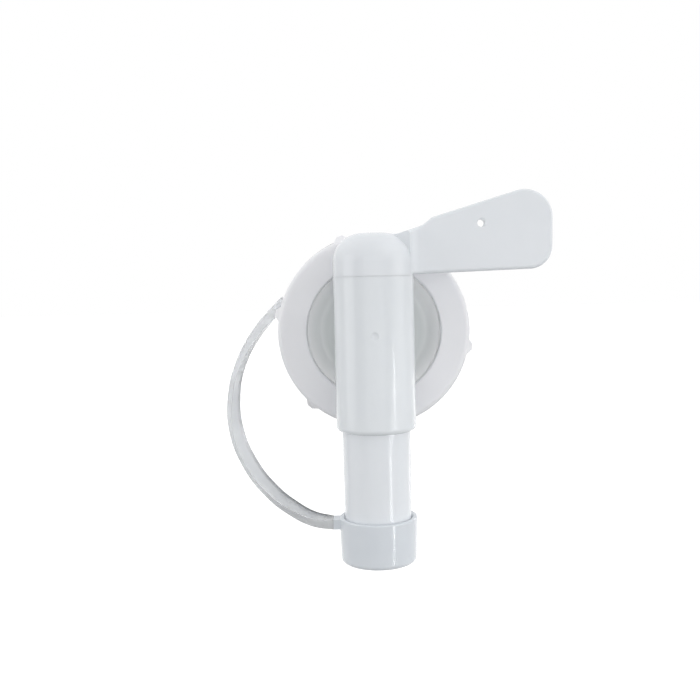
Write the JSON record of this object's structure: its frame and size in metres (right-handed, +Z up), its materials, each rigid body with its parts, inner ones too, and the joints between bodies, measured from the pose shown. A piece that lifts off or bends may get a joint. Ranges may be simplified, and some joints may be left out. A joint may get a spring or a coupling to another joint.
{
  "type": "beverage dispenser spigot",
  "caption": "Screw-on plastic tap with a collar nut, a turning lever and downward spout, and a push-on dust cap held by a strap.",
  "frame": {"origin": "centre of the sealing plane of the neck, on the axis of the collar nut's thread", "axes": "+Y along the neck's axis into the container, -Y to the front where the tap stands, +Z up along the barrel, and the closed lever points along +X"},
  "size_m": [0.1044, 0.0486, 0.1137],
  "materials": {
    "nut_plastic": "satin natural polyethylene",
    "body_plastic": "natural polyethylene, soft gloss",
    "lever_plastic": "natural polyethylene, soft gloss",
    "gasket_rubber": "pale soft elastomer",
    "cap_plastic": "soft polyethylene",
    "strap_plastic": "soft polyethylene, slightly translucent"
  },
  "bodies": {
    "tap": {"tap_body": "body_plastic", "neck_gasket": "gasket_rubber", "cap_strap": "strap_plastic"},
    "nut": {"collar_nut": "nut_plastic"},
    "lever": {"lever_spout": "lever_plastic"},
    "cap": {"dust_cap": "cap_plastic"}
  },
  "joints": [
    {"name": "nut_turn", "type": "hinge", "parent": "tap", "child": "nut", "pos_m": [0, 0, 0], "axis": [0, 1, 0], "continuous": true},
    {"name": "lever_turn", "type": "hinge", "parent": "tap", "child": "lever", "pos_m": [0, -0.024, 0], "axis": [0, 0, 1], "range_deg": [-90, 0]},
    {"name": "cap_slide", "type": "slide", "parent": "tap", "child": "cap", "axis": [0, 0, -1], "range_m": [0, 0.016], "deforming": ["cap_strap"]}
  ]
}
